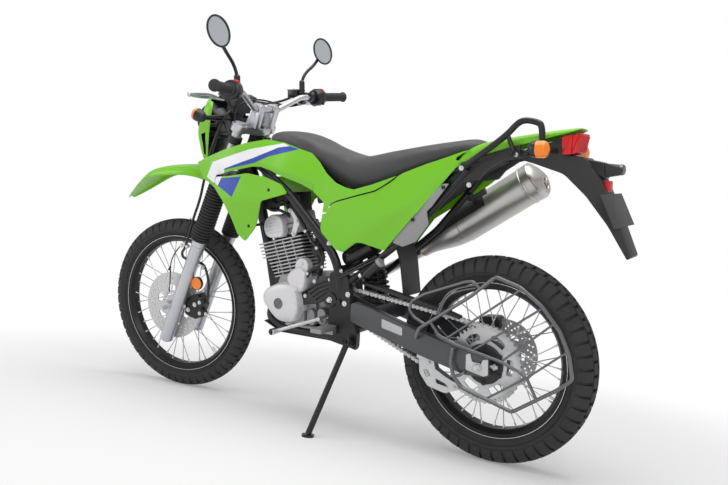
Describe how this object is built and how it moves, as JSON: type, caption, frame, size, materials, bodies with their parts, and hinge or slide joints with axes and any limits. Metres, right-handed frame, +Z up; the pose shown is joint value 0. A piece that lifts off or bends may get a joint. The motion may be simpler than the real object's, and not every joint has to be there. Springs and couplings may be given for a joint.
{
  "type": "dual sport motorcycle",
  "caption": "Lime green dual sport motorcycle leaning on its side stand, with spoked wheels, telescopic fork, finned engine, high fender and slim seat.",
  "frame": {"origin": "on the ground, below the middle of the machine's box, as it is parked", "axes": "+X forward, along the machine, +Y to the rider's left, +Z up"},
  "size_m": [2.1125, 0.837, 1.4582],
  "materials": {
    "tyre": "black rubber, matt sidewalls",
    "black_rim": "black anodised",
    "bright_metal": "satin silver",
    "steel": "brushed stainless",
    "cast_alloy": "bead-blasted silver paint",
    "black_metal": "satin black paint",
    "grey_metal": "dark grey paint",
    "lime_plastic": "gloss lime green",
    "black_plastic": "grained black",
    "rubber": "matt black",
    "vinyl": "dark grey grained vinyl",
    "amber_lens": "clear amber",
    "red_lens": "clear red",
    "lamp_glass": "clear",
    "mirror_glass": "polished",
    "plate_metal": "dark grey, blank"
  },
  "bodies": {
    "chassis": {"frame": "black_metal", "subframe": "black_metal", "swingarm": "grey_metal", "rear_axle": "steel", "rear_brake": "black_metal", "rear_shock": "black_metal", "engine_case": "cast_alloy", "engine_barrel": "cast_alloy", "engine_covers": "cast_alloy", "chain": "steel", "front_sprocket": "steel", "sprocket_cover": "black_plastic", "exhaust_header": "steel", "muffler": "steel", "fuel_tank": "black_plastic", "shrouds": "lime_plastic", "side_covers": "lime_plastic", "air_box": "black_plastic", "seat": "vinyl", "tail_cover": "lime_plastic", "plate_carrier": "black_plastic", "tail_lamp": "red_lens", "rear_signals": "black_plastic", "rear_signal_lenses": "amber_lens", "number_plate": "plate_metal", "grab_rail": "black_metal", "rear_fender": "black_plastic", "wheel_guard": "grey_metal", "foot_pegs": "black_metal", "foot_controls": "bright_metal", "skid_plate": "black_plastic"},
    "front_wheel": {"front_tyre": "tyre", "front_rim": "black_rim", "front_hub": "bright_metal", "front_disc": "steel"},
    "rear_wheel": {"rear_tyre": "tyre", "rear_rim": "black_rim", "rear_hub": "bright_metal", "rear_disc": "steel", "rear_sprocket": "steel"},
    "side_stand": {"side_stand": "black_metal"},
    "steering": {"fork_sliders": "bright_metal", "fork_gaiters": "rubber", "fork_tubes": "steel", "lower_clamp": "black_metal", "handlebar": "bright_metal", "upper_clamp": "bright_metal", "grips": "rubber", "bar_controls": "black_plastic", "levers": "bright_metal", "mirrors": "black_plastic", "mirror_glasses": "mirror_glass", "headlight_cowl": "lime_plastic", "headlight": "lamp_glass", "instrument_panel": "black_plastic", "front_signals": "black_plastic", "front_signal_lenses": "amber_lens", "front_fender": "lime_plastic", "front_brake": "black_metal", "front_axle": "steel"}
  },
  "joints": [
    {"name": "steering_head", "type": "hinge", "parent": "chassis", "child": "steering", "pos_m": [0.37795, -0.0307, 0.9309], "axis": [-0.4054, 0.143, 0.9029], "range_deg": [-51.9, 38.1]},
    {"name": "front_wheel_spin", "type": "hinge", "parent": "steering", "child": "front_wheel", "pos_m": [0.71594, -0.11681, 0.33651], "axis": [-0.1098, 0.9729, -0.2034], "continuous": true},
    {"name": "rear_wheel_spin", "type": "hinge", "parent": "chassis", "child": "rear_wheel", "pos_m": [-0.64846, -0.12729, 0.32102], "axis": [0, 0.9877, -0.1564], "continuous": true},
    {"name": "side_stand_fold", "type": "hinge", "parent": "chassis", "child": "side_stand", "pos_m": [-0.18095, 0.00818, 0.30696], "axis": [0.1536, 0.9467, 0.2831], "range_deg": [0, 100]}
  ]
}
